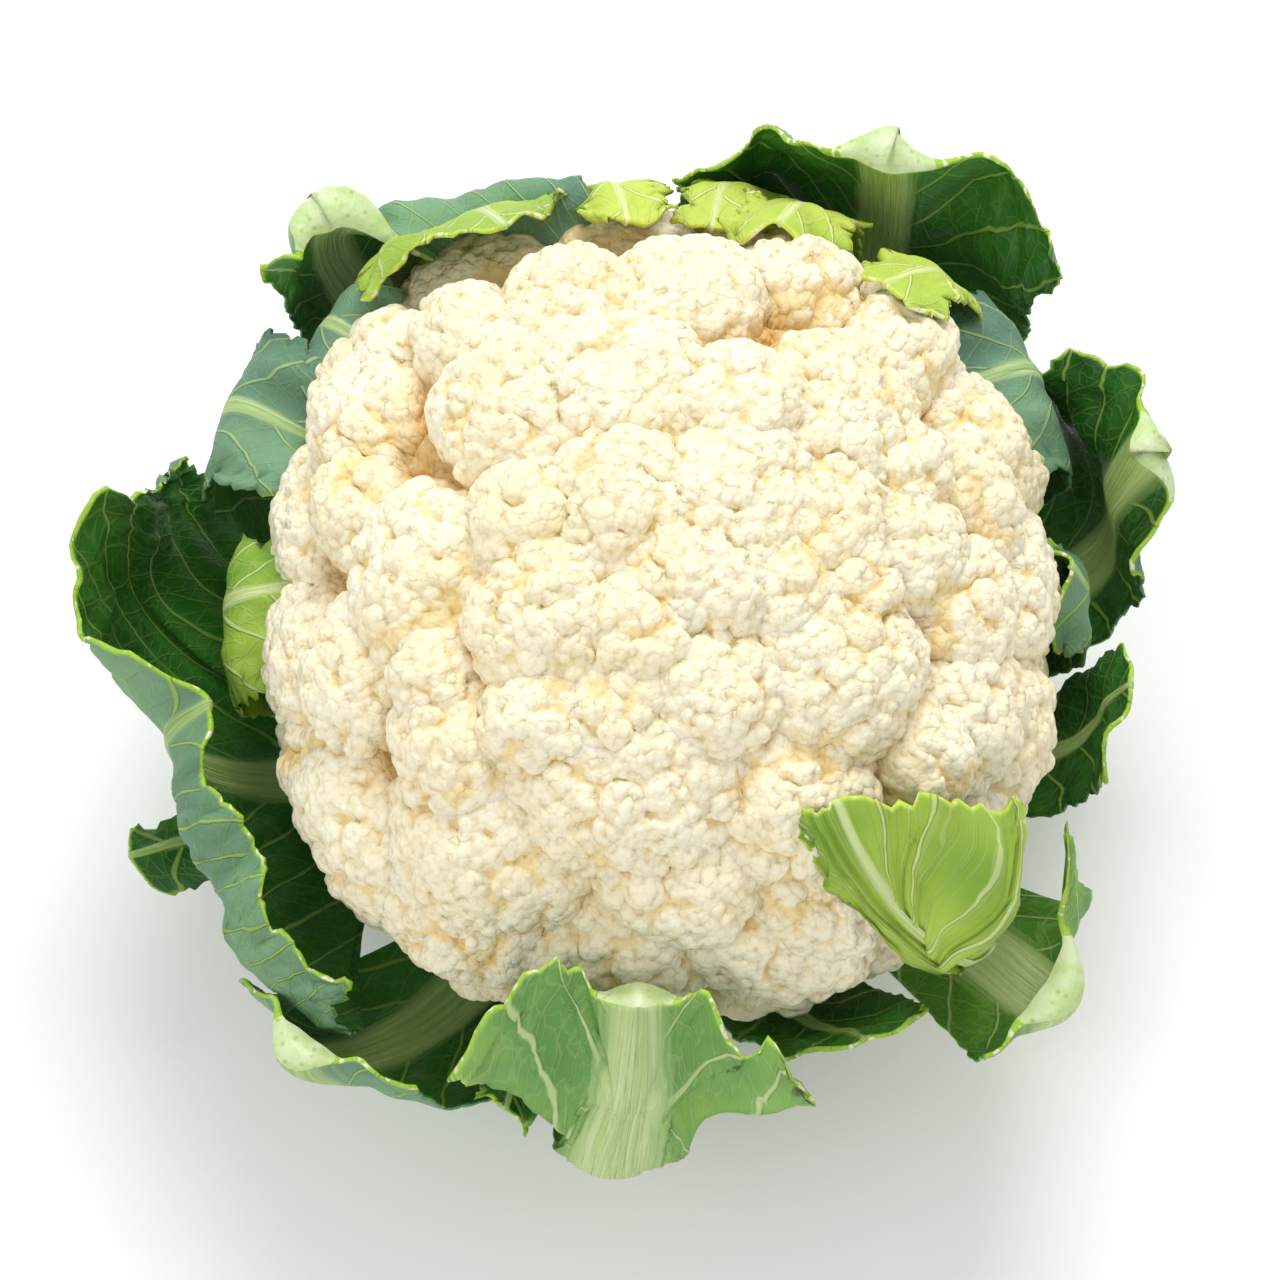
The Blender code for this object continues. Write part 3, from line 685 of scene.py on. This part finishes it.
def build_leaf(leaf, look, seed, material, cut):
    s = leaf_sheet(leaf, look, seed)
    sheet = s["sheet"]
    rows, columns = sheet.shape[0] - 1, sheet.shape[1] - 1
    step_up = np.gradient(sheet, axis=0)
    step_over = np.gradient(sheet, axis=1)
    outward = np.cross(step_over, step_up)
    outward /= np.maximum(np.linalg.norm(outward, axis=-1, keepdims=True), 1e-12)
    along = s["grid"][1]
    rib_now = s["rib_thickness"] * (1.0 + (0.9 * smooth((along - 0.75) / 0.25) if look.cut_rib else 0.0))
    blade = 0.9 * MM
    outer_lift = blade + np.maximum(rib_now - blade, 0.0) * s["bar"]
    # the blade puckers between its side veins, and the veins stand out below
    slant = s["along"] - 1.5 * np.abs(s["across"]) - 10.0 * s["across"] ** 2
    slant = slant + 0.0045 * (s["across"] > 0)
    ridge = np.cos(slant / 0.017 * math.tau)
    off_rib = 1.0 - s["bar"]
    pucker = look.pleat * MM * ridge * off_rib * smooth((along - 0.35) / 0.2)
    inner_rib = RIB_RAISE * s["rib"] ** 0.6 * (1.0 - 0.5 * along)
    inner = sheet - outward * (pucker + inner_rib)[..., None]
    outer = sheet + outward * (outer_lift - pucker * 0.6)[..., None]

    points = np.concatenate((inner.reshape(-1, 3), outer.reshape(-1, 3)))
    count = (rows + 1) * (columns + 1)
    index = np.arange(count).reshape(rows + 1, columns + 1)
    quads_in = np.stack((index[:-1, :-1], index[1:, :-1], index[1:, 1:], index[:-1, 1:]), -1).reshape(-1, 4)
    quads_out = quads_in[:, ::-1] + count
    loops = ((index[0, :], False), (index[-1, :], True), (index[:, 0], True), (index[:, -1], False))
    rims = []
    marks = []
    for loop, flip in loops:
        rim = np.stack((loop[:-1], loop[1:], loop[1:] + count, loop[:-1] + count), -1)
        rims.append(rim[:, ::-1] if flip else rim)
        marks.append(np.zeros(len(rim), dtype=np.int32))
    if look.cut_rib:
        rib_here = (s["bar"][-1, :-1] + s["bar"][-1, 1:]) / 2
        marks[1] = (rib_here > 0.15).astype(np.int32)
    faces = np.concatenate([quads_in, quads_out] + rims)
    marks = np.concatenate([np.zeros(len(quads_in) * 2, dtype=np.int32)] + marks)
    thing = mesh_object(leaf.name + "_blade", points, faces, [material, cut], marks)

    both = lambda grid: np.concatenate((grid.ravel(), grid.ravel()))
    side = np.concatenate((np.zeros(count), np.ones(count)))
    on_leaf = np.column_stack((both(s["across"]) * 100, both(s["along"]) * 100, side))
    point_attribute(thing, "on_leaf", on_leaf)
    point_attribute(thing, "rib_share", np.concatenate((s["rib"].ravel(), s["bar"].ravel())))
    point_attribute(thing, "margin", both(1.0 - np.clip(s["margin"] / 1.6, 0.0, 1.0)) * both(1.0 - s["rib"]))
    return thing


# ---------------------------------------------------------------- stalk
def stalk_material():
    n = Nodes("stalk_flesh")
    fibre = n.noise(60.0, 4.0)
    colour = n.mix(n.ramp(fibre, 0.3, 0.7), (214, 220, 176), (190, 204, 140))
    n.link(colour, n.shader.inputs["Base Color"])
    n.link(n.bump(n.noise(300.0, 3.0), 0.0008, 0.7), n.shader.inputs["Normal"])
    n.shader.inputs["Roughness"].default_value = 0.5
    return n.material


def build_stalk():
    """A cut stump, a little uneven round its skin, with a flat cut face."""
    around, levels = 96, 40
    rings = []
    for level in range(levels + 1):
        z = STALK_TOP * level / levels
        turn = np.arange(around) / around * math.tau
        bulge = 0.00035 * np.cos(5 * turn + 0.4) + 0.0003 * np.sin(9 * turn + 40 * z)
        radius = STALK_RADIUS - 0.0008 + bulge - 0.0012 * math.exp(-z / 0.0012)
        rings.append(np.column_stack((radius * np.cos(turn), radius * np.sin(turn), np.full(around, z))))
    points = np.concatenate(rings + [np.array([[0, 0, 0.0], [0, 0, STALK_TOP]])])
    faces = []
    bottom, top = len(points) - 2, len(points) - 1
    for level in range(levels):
        for k in range(around):
            a, b = level * around + k, level * around + (k + 1) % around
            faces += [(a, b, b + around), (a, b + around, a + around)]
    for k in range(around):
        faces.append((bottom, (k + 1) % around, k))
        last = levels * around
        faces.append((top, last + k, last + (k + 1) % around))
    return mesh_object("stalk_stump", points, np.array(faces), [stalk_material()])


# ---------------------------------------------------------------- studio
def build_floor():
    bm = bmesh.new()
    bmesh.ops.create_grid(bm, x_segments=1, y_segments=1, size=4.0)
    mesh = bpy.data.meshes.new("floor")
    bm.to_mesh(mesh)
    bm.free()
    floor = bpy.data.objects.new("floor", mesh)
    bpy.context.scene.collection.objects.link(floor)
    n = Nodes("floor_paper")
    n.shader.inputs["Base Color"].default_value = (0.95, 0.95, 0.95, 1)
    n.shader.inputs["Roughness"].default_value = 0.8
    mesh.materials.append(n.material)


def add_light(name, place, size, power, aim):
    data = bpy.data.lights.new(name, "AREA")
    data.size = size
    data.energy = power
    light = bpy.data.objects.new(name, data)
    light.location = place
    light.rotation_euler = (Vector(aim) - Vector(place)).to_track_quat("-Z", "Y").to_euler()
    bpy.context.scene.collection.objects.link(light)


def build_studio():
    centre = (0, 0, EQUATOR)
    add_light("key_light", (0.1, 0.95, 1.2), 0.8, 14.0, centre)
    add_light("fill_light", (-0.7, -0.9, 1.1), 1.4, 6.0, centre)
    world = bpy.data.worlds.new("studio")
    world.use_nodes = True
    world.node_tree.nodes["Background"].inputs[0].default_value = (1, 1, 1, 1)
    world.node_tree.nodes["Background"].inputs[1].default_value = 0.70
    bpy.context.scene.world = world
    bpy.context.scene.view_settings.view_transform = "Standard"


CAMERA_ELEVATION = math.radians(66)
CAMERA_DISTANCE = 0.90
CAMERA_LENS = 119.7
AIM = Vector((-0.0047, -0.0056, 0.0698))


def build_camera():
    data = bpy.data.cameras.new("camera")
    data.lens = CAMERA_LENS
    data.sensor_width = 36
    data.clip_start = 0.01
    camera = bpy.data.objects.new("camera", data)
    back = Vector((0, -math.cos(CAMERA_ELEVATION), math.sin(CAMERA_ELEVATION)))
    camera.location = AIM + back * CAMERA_DISTANCE
    camera.rotation_euler = (math.pi / 2 - CAMERA_ELEVATION, 0, 0)
    bpy.context.scene.collection.objects.link(camera)
    bpy.context.scene.camera = camera


# ---------------------------------------------------------------- putting it together
def place_piece(piece, node):
    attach(piece, "root")
    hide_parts(node)


build_camera()
build_studio()
build_floor()
place_piece(build_curd(), "curd")
place_piece(build_stalk(), "stalk")
leaf_looks = {tint: leaf_material(tint) for tint in TINTS}
cut_flesh = cut_material()
for number, one_leaf in enumerate(LEAVES):
    blade = build_leaf(one_leaf, LOOKS[one_leaf.name], number * 2.37, leaf_looks[one_leaf.tint], cut_flesh)
    place_piece(blade, one_leaf.name)
